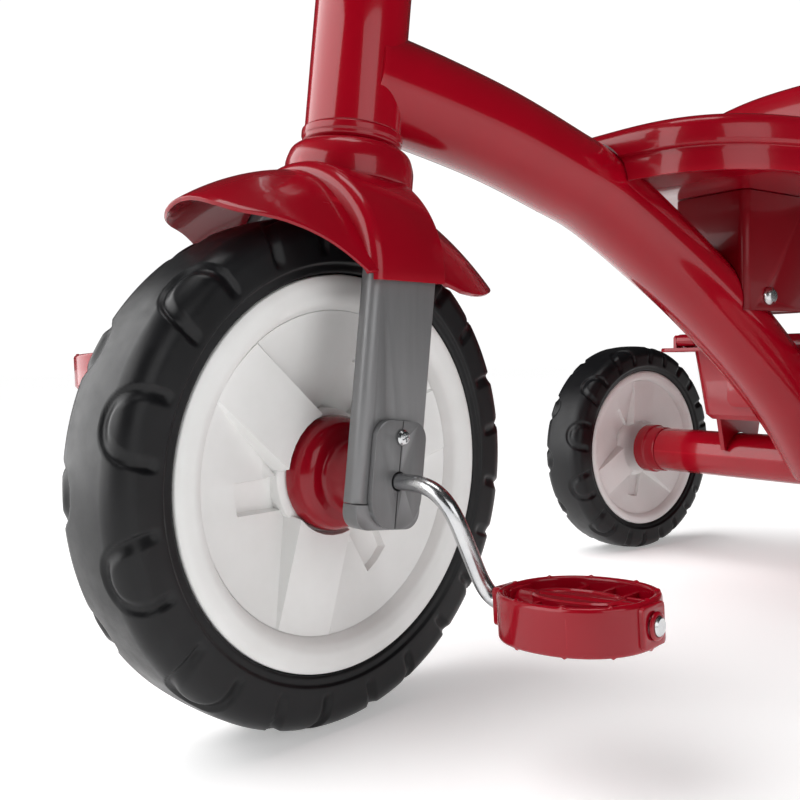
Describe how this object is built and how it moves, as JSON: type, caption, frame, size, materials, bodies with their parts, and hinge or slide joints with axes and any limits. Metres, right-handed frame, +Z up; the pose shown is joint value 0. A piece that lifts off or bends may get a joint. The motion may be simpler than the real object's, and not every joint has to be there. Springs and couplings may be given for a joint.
{
  "type": "children's tricycle",
  "caption": "Pedal tricycle for a small child: curved main tube, steered front wheel with crank pedals, bucket seat, and a lidded storage bin over the rear axle.",
  "frame": {"origin": "on the ground, under the centre of the whole tricycle's bounding box", "axes": "+Z up, -Y the way the tricycle faces, +X the rider's left"},
  "size_m": [0.448, 0.7279, 0.5304],
  "materials": {
    "red_paint": "glossy crimson powder coat",
    "red_plastic": "glossy moulded crimson plastic",
    "dark_red_plastic": "satin dark red plastic",
    "white_plastic": "satin white plastic",
    "black_tyre": "satin black foamed tyre",
    "grey_plastic": "satin mid grey",
    "zinc_steel": "bright zinc plate",
    "black_grip": "matt black grip"
  },
  "bodies": {
    "frame": {"head_tube": "red_paint", "head_bushing_lower": "red_plastic", "head_bushing_upper": "red_plastic", "main_tube": "red_paint", "rear_axle_tube": "red_paint", "rear_axle_rod": "zinc_steel", "axle_collar_left": "red_plastic", "axle_collar_right": "red_plastic", "axle_retainer_left": "zinc_steel", "axle_retainer_right": "zinc_steel", "seat_shell": "red_plastic", "seat_pedestal": "dark_red_plastic", "seat_bolt": "zinc_steel", "seat_bolt_nut": "zinc_steel", "seat_screw_front": "zinc_steel", "seat_screw_rear": "zinc_steel", "storage_bin": "red_plastic", "bin_bracket_left": "red_paint", "bin_bracket_right": "red_paint", "bin_screw_left": "zinc_steel", "bin_screw_right": "zinc_steel", "lid_pin_left": "zinc_steel", "lid_pin_right": "zinc_steel"},
    "steering": {"steerer": "zinc_steel", "fork_yoke": "grey_plastic", "fork_leg_left": "grey_plastic", "fork_leg_right": "grey_plastic", "axle_bushing_front_left": "grey_plastic", "axle_bushing_rear_left": "grey_plastic", "axle_bushing_front_right": "grey_plastic", "axle_bushing_rear_right": "grey_plastic", "bushing_screw_left": "zinc_steel", "bushing_screw_right": "zinc_steel", "front_fender": "red_plastic", "handlebar": "zinc_steel", "grip_left": "black_grip", "grip_right": "black_grip", "handlebar_clamp": "grey_plastic", "clamp_bolt": "zinc_steel"},
    "front_wheel": {"front_tyre": "black_tyre", "front_rim": "white_plastic", "front_hub_cap_left": "red_plastic", "front_hub_cap_right": "red_plastic", "crank_rod": "zinc_steel", "pedal_cap_left": "red_plastic", "pedal_cap_right": "red_plastic"},
    "left_pedal": {"pedal_left": "red_plastic"},
    "right_pedal": {"pedal_right": "red_plastic"},
    "rear_wheel_left": {"rear_tyre_left": "black_tyre", "rear_rim_left": "white_plastic", "rear_hub_cap_left": "red_plastic"},
    "rear_wheel_right": {"rear_tyre_right": "black_tyre", "rear_rim_right": "white_plastic", "rear_hub_cap_right": "red_plastic"},
    "lid": {"bin_lid": "red_plastic"}
  },
  "joints": [
    {"name": "steering_turn", "type": "hinge", "parent": "frame", "child": "steering", "pos_m": [0, -0.2282, 0.1273], "axis": [0, 0.1132, 0.9936], "range_deg": [-51, 29]},
    {"name": "front_wheel_spin", "type": "hinge", "parent": "steering", "child": "front_wheel", "pos_m": [0.00138, -0.23537, 0.12729], "axis": [0.9816, 0.1896, -0.0216], "continuous": true},
    {"name": "left_pedal_spin", "type": "hinge", "parent": "front_wheel", "child": "left_pedal", "pos_m": [-0.0033, -0.21782, 0.06836], "axis": [0.9807, 0.1893, 0.0482], "continuous": true},
    {"name": "right_pedal_spin", "type": "hinge", "parent": "front_wheel", "child": "right_pedal", "pos_m": [0.00607, -0.25292, 0.18621], "axis": [0.9807, 0.1893, 0.0482], "continuous": true},
    {"name": "rear_wheel_spin_left", "type": "hinge", "parent": "frame", "child": "rear_wheel_left", "pos_m": [0.2, 0.2355, 0.0977], "axis": [1, 0, 0], "continuous": true},
    {"name": "rear_wheel_spin_right", "type": "hinge", "parent": "frame", "child": "rear_wheel_right", "pos_m": [-0.2, 0.2355, 0.0977], "axis": [1, 0, 0], "continuous": true},
    {"name": "lid_open", "type": "hinge", "parent": "frame", "child": "lid", "pos_m": [0, 0.1935, 0.1983], "axis": [1, 0, 0], "range_deg": [0, 55]}
  ]
}
